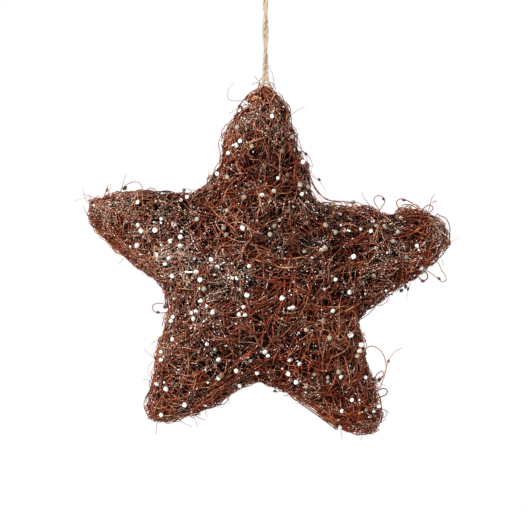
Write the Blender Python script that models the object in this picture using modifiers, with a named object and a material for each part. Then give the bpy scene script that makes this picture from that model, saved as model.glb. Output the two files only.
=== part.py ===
# Hanging star ornament of wound vine on a doubled jute twine. Metres, +Z up, front face towards -Y.
# The origin is the point where the twine's loop bears on its hook.

import math
import random

import bmesh
import bpy
from mathutils import Matrix, Vector, noise
from mathutils.bvhtree import BVHTree
from mathutils.kdtree import KDTree

# Twine: one length, doubled, with a loop at its top and both ends held in the star's tip
TWINE_DIAMETER = 0.0018
STRAND_GAP = 0.0003
HANG_DROP = 0.0920
LOOP_RADIUS = 0.0070
LOOP_TAPER = 0.0180
LEG_HEIGHT = 0.0080
LEG_GAP = 0.0024
HALF_TWISTS = 2
TWIST_EASE = 0.3
STEP_IN_DIAMETERS = 2.0
TWINE_SINK = 0.0060

# Holes in the star's tip that the twine's two ends sit in
HOLE_CLEARANCE = 0.0003
HOLE_SIDES = 12
HOLE_CUTTER_RISE = 0.0120

# Star body: each arm is a long ball that tapers from the middle of the star to a rounded tip.
# Direction in degrees from +X, and the reach of the tip from the star's middle
ARM_DIRECTION = {
    "top": 91.0,
    "upper_right": 12.5,
    "lower_right": 303.0,
    "lower_left": 232.5,
    "upper_left": 160.5,
}
ARM_REACH = {
    "top": 0.1275,
    "upper_right": 0.1300,
    "lower_right": 0.1325,
    "lower_left": 0.1290,
    "upper_left": 0.1310,
}
# Radius at the tip and at the base, and how far the base lies aside of the tip, anticlockwise
TIP_RADIUS = {
    "top": 0.0150,
    "upper_right": 0.0180,
    "lower_right": 0.0185,
    "lower_left": 0.0165,
    "upper_left": 0.0165,
}
BASE_RADIUS = {
    "top": 0.0540,
    "upper_right": 0.0570,
    "lower_right": 0.0600,
    "lower_left": 0.0600,
    "upper_left": 0.0580,
}
BASE_ASIDE = {
    "top": 0.0060,
    "upper_right": -0.0060,
    "lower_right": -0.0040,
    "lower_left": 0.0040,
    "upper_left": 0.0,
}
ARM_SIDES = 32
ARM_RINGS = 16
BASE_OFFSET = 0.0120
BASE_HALF_DEPTH = 0.0340
TIP_DEPTH_SHARE = 0.90
BODY_GRAIN = 0.0028
BODY_SMOOTHING = 6
BODY_TRIANGLES = 8700

# Lumps that the winding leaves in the body, large ones and ones half as large
LUMP_SIZE = 0.0300
LUMP_HEIGHT = 0.0030
SMALL_LUMP_HEIGHT = 0.0015
SMALL_LUMP_SHIFT = Vector((7.0, 3.0, 5.0))

# Bundles of vine, each a rounded ridge on the body, laid one over another
BUNDLE_COUNT = 120
BUNDLE_HALF_WIDTH = 0.0040
BUNDLE_HEIGHT = 0.0048
BUNDLE_SUNK = 0.0034
BUNDLE_LOWEST_SHARE = 0.45
BUNDLE_LENGTHS = (0.080, 0.170)
BUNDLE_LEAST_BEND = 0.030
BUNDLE_STEP = 0.0020
WINDING_SEED = 11

TIP_Z = -HANG_DROP
MIDDLE = Vector((0.0, 0.0, TIP_Z - ARM_REACH["top"]))


def clear_scene():
    for old in list(bpy.data.objects):
        bpy.data.objects.remove(old, do_unlink=True)


def new_collection(name):
    made = bpy.data.collections.new(name)
    bpy.context.scene.collection.children.link(made)
    return made


def new_material(name, colour, roughness):
    made = bpy.data.materials.new(name)
    made.use_nodes = True
    shader = made.node_tree.nodes["Principled BSDF"]
    shader.inputs["Base Color"].default_value = (*colour, 1.0)
    shader.inputs["Roughness"].default_value = roughness
    shader.inputs["Metallic"].default_value = 0.0
    return made


def new_object(name, data, collection, material=None):
    made = bpy.data.objects.new(name, data)
    collection.objects.link(made)
    if material:
        data.materials.append(material)
    return made


def evaluated_mesh(source):
    """A new mesh of the object as its modifiers leave it."""
    bpy.context.view_layer.update()
    graph = bpy.context.evaluated_depsgraph_get()
    return bpy.data.meshes.new_from_object(source.evaluated_get(graph))


def ease(share, strength=1.0):
    """Goes from 0 to 1 with a level start and a level end, or evenly at a strength of 0."""
    return share - strength * math.sin(2 * math.pi * share) / (2 * math.pi)


# Star body

def arm_axes(arm):
    """The way out along an arm and the way across it, both in the star's own plane."""
    angle = math.radians(ARM_DIRECTION[arm])
    out = Vector((math.cos(angle), 0.0, math.sin(angle)))
    across = Vector((-math.sin(angle), 0.0, math.cos(angle)))
    return out, across


def add_arm(mesh, arm):
    """A ball pulled out along the arm: one half is the arm's base, the other its rounded tip."""
    out, across = arm_axes(arm)
    ball = bmesh.ops.create_uvsphere(mesh, u_segments=ARM_SIDES, v_segments=ARM_RINGS, radius=1.0)
    for vertex in ball["verts"]:
        # The ball's poles point along the arm, and its middle ring goes with its base.
        side, depth, along = vertex.co
        if round(along, 3) > 0:
            centre = MIDDLE + out * (ARM_REACH[arm] - TIP_RADIUS[arm])
            radius = TIP_RADIUS[arm]
            half_depth = radius * TIP_DEPTH_SHARE
        else:
            centre = MIDDLE + out * BASE_OFFSET + across * BASE_ASIDE[arm]
            radius = BASE_RADIUS[arm]
            half_depth = BASE_HALF_DEPTH
        vertex.co = (
            centre
            + out * (along * radius)
            + across * (side * radius)
            + Vector((0.0, depth * half_depth, 0.0))
        )


def plain_body(helpers):
    """The five arms fused into one closed smooth skin."""
    mesh = bmesh.new()
    for arm in ARM_DIRECTION:
        add_arm(mesh, arm)
    bmesh.ops.recalc_face_normals(mesh, faces=mesh.faces)
    data = bpy.data.meshes.new("arms")
    mesh.to_mesh(data)
    mesh.free()
    arms = new_object("arms", data, helpers)
    fuse = arms.modifiers.new("Fuse", "REMESH")
    fuse.mode = "VOXEL"
    fuse.voxel_size = BODY_GRAIN
    soften = arms.modifiers.new("Soften", "SMOOTH")
    soften.factor = 0.5
    soften.iterations = BODY_SMOOTHING
    skin = evaluated_mesh(arms)
    bpy.data.objects.remove(arms)
    return skin


def lump(point):
    """How far the winding stands out of, or sinks into, the body at a point."""
    large = noise.noise(point / LUMP_SIZE)
    small = noise.noise(point / (LUMP_SIZE / 2) + SMALL_LUMP_SHIFT)
    return LUMP_HEIGHT * large + SMALL_LUMP_HEIGHT * small


def bundle_walks(tree):
    """Places along each wound bundle on the skin, with the level at which the bundle lies."""
    chance = random.Random(WINDING_SEED)
    arms = list(ARM_DIRECTION)
    places = []
    for number in range(BUNDLE_COUNT):
        level = BUNDLE_LOWEST_SHARE + (1 - BUNDLE_LOWEST_SHARE) * chance.random()
        # The starts take the arms in turn, front then back, and go evenly out along them.
        arm = arms[number % len(arms)]
        out, across = arm_axes(arm)
        along = ARM_REACH[arm] * math.sqrt((number + chance.random()) / BUNDLE_COUNT)
        aside = BASE_RADIUS[arm] * chance.uniform(-0.5, 0.5)
        start = MIDDLE + out * along + across * aside
        start.y = BASE_HALF_DEPTH * (-1) ** number
        place, normal, _, _ = tree.find_nearest(start)
        heading = Vector([chance.gauss(0, 1) for _ in range(3)])
        bend = chance.uniform(-1, 1) / BUNDLE_LEAST_BEND
        length = chance.uniform(*BUNDLE_LENGTHS)
        for _ in range(round(length / BUNDLE_STEP)):
            heading -= normal * heading.dot(normal)
            heading.normalize()
            heading += normal.cross(heading) * (bend * BUNDLE_STEP)
            place, normal, _, _ = tree.find_nearest(place + heading * BUNDLE_STEP)
            places.append((place.copy(), level))
    return places


def wind_bundles(skin):
    """Raises the bundles, and the lumps they lie over, out of the plain skin."""
    mesh = bmesh.new()
    mesh.from_mesh(skin)
    bmesh.ops.recalc_face_normals(mesh, faces=mesh.faces)
    mesh.normal_update()
    places = bundle_walks(BVHTree.FromBMesh(mesh))
    near = KDTree(len(places))
    for i, (place, _) in enumerate(places):
        near.insert(place, i)
    near.balance()
    shifts = []
    for vertex in mesh.verts:
        height = 0.0
        for _, i, away in near.find_range(vertex.co, BUNDLE_HALF_WIDTH):
            # Distances hold 32 bits, so one may come out a hair over the half width.
            round_top = math.sqrt(max(0.0, 1 - (away / BUNDLE_HALF_WIDTH) ** 2))
            height = max(height, BUNDLE_HEIGHT * places[i][1] * round_top)
        shifts.append(vertex.normal * (lump(vertex.co) + height - BUNDLE_SUNK))
    for vertex, shift in zip(mesh.verts, shifts):
        vertex.co += shift
    mesh.to_mesh(skin)
    mesh.free()


def add_hole(name, x, helpers):
    """A cutter for one of the holes that the twine's ends sit in, clear of the twine on its flat sides."""
    bottom = TIP_Z - TWINE_SINK - HOLE_CLEARANCE
    top = TIP_Z + HOLE_CUTTER_RISE
    radius = (TWINE_DIAMETER / 2 + HOLE_CLEARANCE) / math.cos(math.pi / HOLE_SIDES)
    mesh = bmesh.new()
    bmesh.ops.create_cone(
        mesh,
        cap_ends=True,
        segments=HOLE_SIDES,
        radius1=radius,
        radius2=radius,
        depth=top - bottom,
        matrix=Matrix.Translation((x, 0.0, (top + bottom) / 2)),
    )
    data = bpy.data.meshes.new(name)
    mesh.to_mesh(data)
    mesh.free()
    cutter = new_object(name, data, helpers)
    cutter.hide_render = True
    cutter.display_type = "WIRE"
    return cutter


def leg_side():
    """How far each leg of the twine is from the middle line where it goes into the star."""
    return (TWINE_DIAMETER + LEG_GAP) / 2


def build_star(collection, helpers):
    skin = plain_body(helpers)
    wind_bundles(skin)
    skin.name = "star_body"
    material = new_material("wound_vine", (0.14, 0.045, 0.022), 0.75)
    star = new_object("star_body", skin, collection, material)
    triangles = 2 * len(skin.polygons)
    thin = star.modifiers.new("Thin", "DECIMATE")
    thin.ratio = BODY_TRIANGLES / triangles
    for name, side in (("left_hole", -1), ("right_hole", 1)):
        cutter = add_hole(name, side * leg_side(), helpers)
        cut = star.modifiers.new(name, "BOOLEAN")
        cut.operation = "DIFFERENCE"
        cut.object = cutter
        cut.solver = "EXACT"
    return star


# Hanging twine

def half_spread(height):
    """How far one strand is from the twine's middle line at a height, and how far round it has twisted."""
    strand = (TWINE_DIAMETER + STRAND_GAP) / 2
    leg_top = TIP_Z + LEG_HEIGHT
    loop_centre = TWINE_DIAMETER / 2 - LOOP_RADIUS
    neck = loop_centre - LOOP_TAPER
    if height < leg_top:
        share = min(max((height - TIP_Z) / LEG_HEIGHT, 0.0), 1.0)
        return leg_side() + (strand - leg_side()) * ease(share), 0.0
    if height > neck:
        share = min((height - neck) / LOOP_TAPER, 1.0)
        return strand + (LOOP_RADIUS - strand) * ease(share), HALF_TWISTS * math.pi
    share = (height - leg_top) / (neck - leg_top)
    return strand, HALF_TWISTS * math.pi * ease(share, TWIST_EASE)


def twine_route():
    """Up one strand, round the loop at the top and down the other strand, a step apart."""
    step = TWINE_DIAMETER * STEP_IN_DIAMETERS
    bottom = TIP_Z - TWINE_SINK
    loop_centre = TWINE_DIAMETER / 2 - LOOP_RADIUS
    rise = loop_centre - bottom
    count = round(rise / step)
    strands = []
    for turned in (0.0, math.pi):
        strand = []
        for i in range(count + 1):
            height = bottom + rise * i / count
            spread, twist = half_spread(height)
            angle = twist + turned
            strand.append(Vector((spread * math.cos(angle), spread * math.sin(angle), height)))
        strands.append(strand)
    going_up, coming_down = strands
    side = math.copysign(1.0, going_up[-1].x)
    bend = round(math.pi * LOOP_RADIUS / step) + 1
    loop = []
    for i in range(1, bend):
        angle = math.pi * i / bend
        x = side * LOOP_RADIUS * math.cos(angle)
        loop.append(Vector((x, 0.0, loop_centre + LOOP_RADIUS * math.sin(angle))))
    return going_up + loop + coming_down[::-1]


def build_twine(collection):
    points = twine_route()
    curve = bpy.data.curves.new("hanging_twine", "CURVE")
    curve.dimensions = "3D"
    curve.bevel_depth = TWINE_DIAMETER / 2
    curve.bevel_resolution = 2
    curve.use_fill_caps = True
    spline = curve.splines.new("POLY")
    spline.points.add(len(points) - 1)
    for place, point in zip(spline.points, points):
        place.co = (*point, 1.0)
    material = new_material("jute_twine", (0.55, 0.38, 0.20), 0.85)
    return new_object("hanging_twine", curve, collection, material)


def main():
    clear_scene()
    collection = new_collection("star_ornament")
    helpers = new_collection("helpers")
    build_star(collection, helpers)
    build_twine(collection)


main()
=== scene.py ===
import math
import random

import bmesh
import bpy
import numpy as np
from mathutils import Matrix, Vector, noise
from mathutils.bvhtree import BVHTree


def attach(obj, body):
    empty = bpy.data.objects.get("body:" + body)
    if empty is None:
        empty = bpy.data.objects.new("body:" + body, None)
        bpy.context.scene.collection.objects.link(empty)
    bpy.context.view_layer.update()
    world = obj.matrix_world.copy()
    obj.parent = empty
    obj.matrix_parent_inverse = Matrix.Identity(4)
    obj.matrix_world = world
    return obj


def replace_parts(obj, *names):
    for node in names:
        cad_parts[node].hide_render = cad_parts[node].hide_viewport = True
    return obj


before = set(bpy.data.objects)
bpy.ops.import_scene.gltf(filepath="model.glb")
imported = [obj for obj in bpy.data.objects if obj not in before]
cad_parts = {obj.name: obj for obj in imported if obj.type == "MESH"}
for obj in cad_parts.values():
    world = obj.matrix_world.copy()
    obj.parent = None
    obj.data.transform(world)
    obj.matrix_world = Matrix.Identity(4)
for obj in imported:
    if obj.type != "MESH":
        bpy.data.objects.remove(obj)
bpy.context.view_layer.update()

# Camera: straight in front of the star and about level with its middle, with a long lens.
# A pixel of its 528 by 512 frame is 0.69 mm where the star hangs.
FRAME_PX = (528, 512)
PIXEL = 0.00069
TIP_PX = (265.5, 87.0)
TIP_Z = -0.0920
CAMERA_AWAY = 1.60
SENSOR_WIDTH = 36.0

VIEW_MIDDLE = Vector((
    (FRAME_PX[0] / 2 - TIP_PX[0]) * PIXEL,
    0.0,
    TIP_Z - (FRAME_PX[1] / 2 - TIP_PX[1]) * PIXEL,
))
CAMERA_PLACE = VIEW_MIDDLE - Vector((0.0, CAMERA_AWAY, 0.0))


def add_object(name, data):
    """A new object in the scene."""
    made = bpy.data.objects.new(name, data)
    bpy.context.scene.collection.objects.link(made)
    return made


def at_pixel(pixel, y=0.0):
    """The point at depth y that shows at a pixel of the photograph's frame."""
    x = (pixel[0] - TIP_PX[0]) * PIXEL
    z = TIP_Z - (pixel[1] - TIP_PX[1]) * PIXEL
    share = (CAMERA_AWAY + y) / CAMERA_AWAY
    return CAMERA_PLACE + (Vector((x, 0.0, z)) - CAMERA_PLACE) * share


camera_data = bpy.data.cameras.new("photo_camera")
camera_data.sensor_width = SENSOR_WIDTH
camera_data.lens = SENSOR_WIDTH * CAMERA_AWAY / (FRAME_PX[0] * PIXEL)
camera = add_object("photo_camera", camera_data)
camera.location = CAMERA_PLACE
camera.rotation_euler = (math.pi / 2, 0.0, 0.0)
bpy.context.scene.camera = camera
bpy.context.scene.view_settings.view_transform = "Standard"

# Hanging twine: one length of soft two-ply jute cord, tied in under the vine of the top arm. It goes up,
# round the loop that hangs on a hook, and down again beside itself with one turn round it.
TWINE_DIAMETER = 0.0018
STRAND_GAP = 0.0003
LOOP_RADIUS = 0.0070
LOOP_CENTRE = TWINE_DIAMETER / 2 - LOOP_RADIUS
LOOP_TAPER = 0.0180
LEG_HEIGHT = 0.0080
LEG_GAP = 0.0024
LEG_SIDE = (TWINE_DIAMETER + LEG_GAP) / 2
HALF_TWISTS = 2
TWIST_EASE = 0.3
TWINE_SINK = 0.0060
TWINE_STEP = 0.0006
PLY_RADIUS = 0.00060
PLY_OFFSET = 0.00043
PLY_PITCH = 0.0085
PLY_TONES = (0.12, 0.18)
CAP_WELD = 1e-7
# What a tube may carry along it: its tone, how thickly it is frosted, and its age.
TUBE_MARKS = ("tone", "frost", "age")
# Hairs lean along the twine. They start inside it and stay off its two ends.
HAIR_COUNT = 1100
HAIR_RADIUS = 0.00008
HAIR_FOOT = PLY_OFFSET + PLY_RADIUS * 0.7
HAIR_LENGTHS = (0.0012, 0.0034)
HAIR_RISES = (0.0001, 0.0009)
HAIR_CURL = 0.0005
HAIR_SHARES = (0.0, 0.35, 0.7, 1.0)
HAIR_TONES = (0.15, 0.55)
HAIRLESS_POINTS = 12
HAIR_SEED = 11


def linear(code):
    """A colour from its sRGB hex code, as the shaders need it."""
    parts = [int(code[i:i + 2], 16) / 255 for i in (1, 3, 5)]
    return (*[p / 12.92 if p <= 0.04045 else ((p + 0.055) / 1.055) ** 2.4 for p in parts], 1.0)


def new_material(name):
    """A new material, with its shader."""
    material = bpy.data.materials.new(name)
    material.use_nodes = True
    return material, material.node_tree.nodes["Principled BSDF"]


def set_inputs(node, inputs):
    """Sets a node's inputs, each to a value or from another node's output."""
    for key, given in inputs.items():
        if isinstance(given, bpy.types.NodeSocket):
            node.id_data.links.new(given, node.inputs[key])
        else:
            node.inputs[key].default_value = given


def add_node(material, kind, output, inputs=None, stops=(), **settings):
    """Adds a node with its settings and links, and its stops if it is a ramp. Returns one of its outputs."""
    node = material.node_tree.nodes.new("ShaderNode" + kind)
    for key, value in settings.items():
        setattr(node, key, value)
    set_inputs(node, inputs or {})
    if stops:
        elements = node.color_ramp.elements
        while len(elements) < len(stops):
            elements.new(0.5)
        for element, (place, code) in zip(elements, stops):
            element.position = place
            element.color = linear(code)
    return node.outputs[output]


def into_mesh(source):
    """The mesh of an object as its modifiers leave it. The object itself is taken away."""
    bpy.context.view_layer.update()
    graph = bpy.context.evaluated_depsgraph_get()
    mesh = bpy.data.meshes.new_from_object(source.evaluated_get(graph))
    bpy.data.objects.remove(source)
    return mesh


def tubes(rows, sides, smooth=True):
    """One mesh of closed tubes. Each row has a tube's line and radius, and then its marks if it has any.

    A radius or mark is one number for the whole tube, or one for each point of its line.
    """
    lines, radii, *marks = zip(*rows)
    ring = bpy.data.curves.new("ring", "CURVE")
    ring.dimensions = "2D"
    outline = ring.splines.new("POLY")
    outline.points.add(sides - 1)
    for i, point in enumerate(outline.points):
        # Clockwise, so that the tubes' sides face outwards.
        angle = -2 * math.pi * i / sides
        point.co = (math.cos(angle), math.sin(angle), 0.0, 1.0)
    outline.use_cyclic_u = True
    ring_object = add_object("ring", ring)
    curve = bpy.data.curves.new("tubes", "CURVE")
    curve.dimensions = "3D"
    curve.bevel_mode = "OBJECT"
    curve.bevel_object = ring_object
    curve.use_fill_caps = True
    for line, radius in zip(lines, radii):
        spline = curve.splines.new("POLY")
        spline.points.add(len(line) - 1)
        spline.points.foreach_set("co", [n for point in line for n in (*point, 1.0)])
        spline.points.foreach_set("radius", np.broadcast_to(radius, len(line)).astype(float))
    mesh = into_mesh(add_object("tubes", curve))
    bpy.data.objects.remove(ring_object)
    # The far and near caps of each tube come first, last tube first, and then all the tubes' rings.
    for mark, values in zip(TUBE_MARKS, marks):
        along = [np.broadcast_to(value, len(line)) for value, line in zip(values, lines)]
        caps = [(share[-1], share[0]) for share in along[::-1]]
        by_ring = np.concatenate([np.ravel(caps), *along])
        layer = mesh.attributes.new(mark, "FLOAT", "POINT")
        layer.data.foreach_set("value", np.repeat(by_ring, sides).astype(np.float32))
    welded = bmesh.new()
    welded.from_mesh(mesh)
    bmesh.ops.remove_doubles(welded, verts=welded.verts, dist=CAP_WELD)
    welded.to_mesh(mesh)
    welded.free()
    if smooth:
        mesh.shade_smooth()
    return mesh


def new_piece(name, mesh, material):
    """A finished piece of the ornament, which rides on its one body."""
    made = add_object(name, mesh)
    mesh.name = name
    mesh.materials.append(material)
    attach(made, "root")
    return made


def ease(share, strength=1.0):
    """A share from 0 to 1 that starts and ends gently."""
    return share - strength * math.sin(2 * math.pi * share) / (2 * math.pi)


def half_spread(height):
    """Half of the space between the strands at a height, and how far they have turned round each other."""
    strand = (TWINE_DIAMETER + STRAND_GAP) / 2
    leg_top = TIP_Z + LEG_HEIGHT
    neck = LOOP_CENTRE - LOOP_TAPER
    if height < leg_top:
        share = min(max((height - TIP_Z) / LEG_HEIGHT, 0.0), 1.0)
        return LEG_SIDE + (strand - LEG_SIDE) * ease(share), 0.0
    if height > neck:
        share = min((height - neck) / LOOP_TAPER, 1.0)
        return strand + (LOOP_RADIUS - strand) * ease(share), HALF_TWISTS * math.pi
    share = (height - leg_top) / (neck - leg_top)
    return strand, HALF_TWISTS * math.pi * ease(share, TWIST_EASE)


def twine_route():
    """The twine's middle line: up from the star, round the loop and down again."""
    bottom = TIP_Z - TWINE_SINK
    rise = LOOP_CENTRE - bottom
    count = round(rise / TWINE_STEP)
    strands = []
    for turned in (0.0, math.pi):
        strand = []
        for i in range(count + 1):
            height = bottom + rise * i / count
            spread, twist = half_spread(height)
            angle = twist + turned
            strand.append(Vector((spread * math.cos(angle), spread * math.sin(angle), height)))
        strands.append(strand)
    going_up, coming_down = strands
    side = math.copysign(LOOP_RADIUS, going_up[-1].x)
    bend = round(math.pi * LOOP_RADIUS / TWINE_STEP) + 1
    loop = []
    for i in range(1, bend):
        angle = math.pi * i / bend
        loop.append(Vector((side * math.cos(angle), 0.0, LOOP_CENTRE + LOOP_RADIUS * math.sin(angle))))
    return going_up + loop + coming_down[::-1]


def square_to(way, axis):
    """The way turned square to the axis, at a length of one."""
    return (way - axis * way.dot(axis)).normalized()


def side_frames(line):
    """At each point of a line: its heading, and two ways square to it that don't spin along the line."""
    frames = []
    side = Vector((0.0, 1.0, 0.0))
    for i in range(len(line)):
        heading = (line[min(i + 1, len(line) - 1)] - line[max(i - 1, 0)]).normalized()
        side = square_to(side, heading)
        frames.append((heading, side, heading.cross(side)))
    return frames


# Jute: dull straw-brown fibre, matt, paler where single fibres stand up and catch the light.
# The fibres show as streaks 2 mm long and half a millimetre wide.
FIBRE_REPEATS = (110.0, 7.0, 1.0)
jute, shader = new_material("soft_jute_fibre")
tone = add_node(jute, "Attribute", "Fac", attribute_name="tone")
along = add_node(jute, "TexCoord", "UV")
stretched = add_node(jute, "VectorMath", "Vector", {0: along, 1: FIBRE_REPEATS}, operation="MULTIPLY")
fibres = add_node(jute, "TexNoise", "Fac", {"Vector": stretched, "Scale": 1.0, "Detail": 3.0})
fibre_shade = add_node(jute, "Math", "Value", {0: fibres, 1: 0.7, 2: tone}, operation="MULTIPLY_ADD")
jute_colour = add_node(jute, "ValToRGB", "Color", {"Fac": fibre_shade}, (
    (0.15, "#7f6c54"), (0.40, "#a38f74"), (0.65, "#bfae97"), (0.90, "#ddd4c6"),
))
bump = add_node(jute, "Bump", "Normal", {"Height": fibres, "Strength": 0.7, "Distance": 0.0001})
set_inputs(shader, {
    "Base Color": jute_colour, "Roughness": 0.95, "Specular IOR Level": 0.1, "Normal": bump,
})

twine_line = twine_route()
twine_frames = side_frames(twine_line)
plies = []
for ply, ply_tone in zip((0.0, math.pi), PLY_TONES):
    strand = []
    for i, (point, (_, side, across)) in enumerate(zip(twine_line, twine_frames)):
        angle = 2 * math.pi * i * TWINE_STEP / PLY_PITCH + ply
        strand.append(point + (side * math.cos(angle) + across * math.sin(angle)) * PLY_OFFSET)
    plies.append((strand, PLY_RADIUS, ply_tone))
twine = new_piece("twine_cord", tubes(plies, 8), jute)
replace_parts(twine, "hanging_twine")

chance = random.Random(HAIR_SEED)
hairs = []
for _ in range(HAIR_COUNT):
    i = chance.randrange(HAIRLESS_POINTS, len(twine_line) - HAIRLESS_POINTS)
    heading, side, across = twine_frames[i]
    angle = chance.uniform(0, 2 * math.pi)
    out = side * math.cos(angle) + across * math.sin(angle)
    way = heading * chance.choice((-1, 1))
    reach = chance.uniform(*HAIR_LENGTHS)
    rise = chance.uniform(*HAIR_RISES)
    curl = chance.gauss(0, HAIR_CURL)
    hairs.append([
        twine_line[i] + way * reach * share + out * (HAIR_FOOT + rise * share)
        + heading.cross(out) * curl * share ** 2
        for share in HAIR_SHARES
    ])
hairs = [(hair, HAIR_RADIUS, chance.uniform(*HAIR_TONES)) for hair in hairs]
fuzz = new_piece("twine_fuzz", tubes(hairs, 3, smooth=False), jute)

# Star core: the dense heart of the winding, seen only through gaps between strands. Its nearly black colour
# is painted shade for the deep gaps. It is vine packed tight, far enough under the skin to leave room for the
# strands over it.
CORE_SINK = 0.0075
CORE_EDGE_SINK = 0.0045
CORE_HOLE_SINK = 0.0050
CORE_HOLE_SPREAD = 3
CORE_GRAIN = 0.0040
CORE_SMOOTHING = 12
SKIN_WELD = 0.00001
# Places in the photograph's frame where no strand crosses, with their radius in pixels, and whether that
# goes for the deep strands and the back too, so that the white behind shows.
CLEARINGS = (
    ((245.2, 104.2), 3.4, True), ((255.0, 154.8), 3.6, False), ((256.0, 161.8), 3.6, False),
)
# The winding swells and dips along the star's edges, mostly by a few millimetres and by seven at most. Each
# row has the pixel where it does, how far that reaches, and which way the edge moves, in pixels of the frame.
EDGE_SWELLS = (
    # Top arm
    ((245, 95), 14, (2.8, 2.6)), ((282, 96), 11, (-2.8, 2.0)), ((292, 121), 18, (5.4, -0.6)),
    ((223, 132), 11, (-9.4, -2.6)), ((233, 117), 10, (1.2, 0.8)), ((215, 166), 15, (2.9, 0.6)),
    ((310, 172), 11, (4.6, 0.0)), ((315, 187), 10, (4.8, -2.6)),
    # Upper left arm and left notch
    ((166, 190), 24, (0.0, 2.0)), ((129, 191), 11, (0.0, 1.8)), ((178, 191), 15, (0.0, 2.4)),
    ((201, 184), 10, (-4.2, -8.4)), ((90, 201), 8, (-5.4, -2.8)), ((87, 214), 9, (1.8, 0.0)),
    ((107, 245), 11, (1.4, -1.4)), ((99, 196), 9, (2.4, 4.0)), ((93, 229), 18, (4.0, -3.6)),
    ((137, 268), 11, (4.2, -4.4)), ((150, 285), 24, (3.0, -2.8)), ((167, 309), 12, (-5.6, 1.0)),
    # Lower left arm
    ((154, 350), 24, (-1.8, -0.4)), ((160, 334), 13, (-1.4, -0.5)), ((147, 400), 16, (6.0, -0.4)),
    ((163, 424), 12, (0.0, -2.4)), ((153, 418), 8, (-1.0, 1.8)), ((179, 419), 10, (0.0, -1.8)),
    ((219, 402), 26, (2.6, 4.0)), ((199, 415), 9, (1.6, 2.4)), ((239, 391), 11, (1.9, 2.5)),
    # Bottom notch and lower right arm
    ((257, 383), 15, (0.6, 4.6)), ((309, 411), 26, (2.3, -3.4)), ((277, 388), 13, (0.4, 0.6)),
    ((294, 399), 10, (1.0, -1.4)), ((334, 426), 12, (-0.5, 1.5)), ((351, 433), 14, (0.4, -5.2)),
    ((373, 431), 9, (2.4, 3.6)), ((380, 416), 14, (-0.6, -1.0)), ((382, 402), 9, (7.4, 0.8)),
    ((371, 354), 22, (-4.2, 1.0)), ((372, 372), 10, (-6.2, 0.0)), ((365, 348), 8, (1.8, -0.5)),
    # Right notch and upper right arm
    ((376, 305), 22, (2.0, 1.4)), ((362, 318), 12, (5.6, 3.0)), ((438, 217), 9, (-2.8, 3.6)),
    ((449, 226), 7, (2.4, -1.6)), ((356, 203), 14, (0.0, -3.8)), ((389, 208), 14, (0.0, 7.6)),
    ((412, 207), 12, (0.0, -0.8)), ((421, 211), 6, (0.5, 3.0)), ((335, 203), 7, (0.0, 1.8)),
    ((391, 296), 12, (2.1, 3.1)), ((407, 284), 9, (-1.2, -1.0)),
)


def corner_places(mesh):
    """The places of a mesh's corners, one to a row."""
    places = np.zeros(len(mesh.vertices) * 3)
    mesh.vertices.foreach_get("co", places)
    return places.reshape(-1, 3)


def swell(mesh):
    """Moves the corners of a mesh by the swells."""
    places = corner_places(mesh)
    moved = places.copy()
    for pixel, reach, (right, down) in EDGE_SWELLS:
        middle = at_pixel(pixel)
        away = np.hypot(places[:, 0] - middle.x, places[:, 2] - middle.z) / (reach * PIXEL)
        share = np.exp(-away ** 2)
        moved[:, 0] += share * right * PIXEL
        moved[:, 2] -= share * down * PIXEL
    mesh.vertices.foreach_set("co", moved.ravel())


def smoothed_star(grain, rounds):
    """A closed copy of the swelled star with its ridges smoothed away."""
    made = add_object("smoothed_star", star_mesh.copy())
    weld = made.modifiers.new("Weld", "WELD")
    weld.merge_threshold = SKIN_WELD
    fuse = made.modifiers.new("Fuse", "REMESH")
    fuse.mode = "VOXEL"
    fuse.voxel_size = grain
    soften = made.modifiers.new("Soften", "SMOOTH")
    soften.factor = 0.5
    soften.iterations = rounds
    mesh = into_mesh(made)
    mesh.materials.clear()
    return mesh


# Packed vine: rough, and nearly black as painted shade for the deep gaps,
# with brown streaks 3 mm apart painted like strands in shadow.
painted_shade_core, shader = new_material("core_vine_painted_shade")
place = add_node(painted_shade_core, "TexCoord", "Object")
streaks = add_node(painted_shade_core, "TexNoise", "Fac", {
    "Vector": place, "Scale": 1 / 0.0030, "Detail": 4.0, "Distortion": 1.5,
})
# Nearly black to dark brown: painted shade for the deep gaps between the strands.
painted_shade_core_colour = add_node(painted_shade_core, "ValToRGB", "Color", {"Fac": streaks}, (
    (0.35, "#0d0401"), (0.70, "#331106"),
))
bump = add_node(painted_shade_core, "Bump", "Normal", {"Height": streaks, "Strength": 0.8, "Distance": 0.001})
set_inputs(shader, {
    "Base Color": painted_shade_core_colour, "Roughness": 0.9, "Specular IOR Level": 0.05, "Normal": bump,
})

star_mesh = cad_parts["star_body"].data.copy()
swell(star_mesh)
core_mesh = smoothed_star(CORE_GRAIN, CORE_SMOOTHING)
sunk = []
for corner in core_mesh.vertices:
    sink = CORE_SINK + (CORE_EDGE_SINK - CORE_SINK) * (1 - abs(corner.normal.y))
    for pixel, reach, through in CLEARINGS:
        away = (corner.co.xz - at_pixel(pixel).xz).length / (CORE_HOLE_SPREAD * reach * PIXEL)
        sink += CORE_HOLE_SINK * math.exp(-away ** 2) if through else 0.0
    sunk.append(corner.co - corner.normal * sink)
for corner, place in zip(core_mesh.vertices, sunk):
    corner.co = place
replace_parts(new_piece("star_core", core_mesh, painted_shade_core), "star_body")

# Winding: thousands of dry vine strands wound round the star by hand, in bundles and one by one.
# Deep ones are packed, and darker the deeper they lie, by painted shade in their tone; the outer ones are
# looser, so dark gaps show between them.
FORMER_GRAIN = 0.0030
FORMER_SMOOTHING = 14
SKIN_SEARCH = 0.0150
STAR_MIDDLE_Z = TIP_Z - 0.1275
STRAND_STEP = 0.0034
STRAND_WANDER = 0.12
STRAND_SWING = 0.8
KINK_SHARE = 0.08
KINK_TURN = 0.6
GREATEST_TURN = math.radians(230)
FEWEST_POINTS = 4
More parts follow.
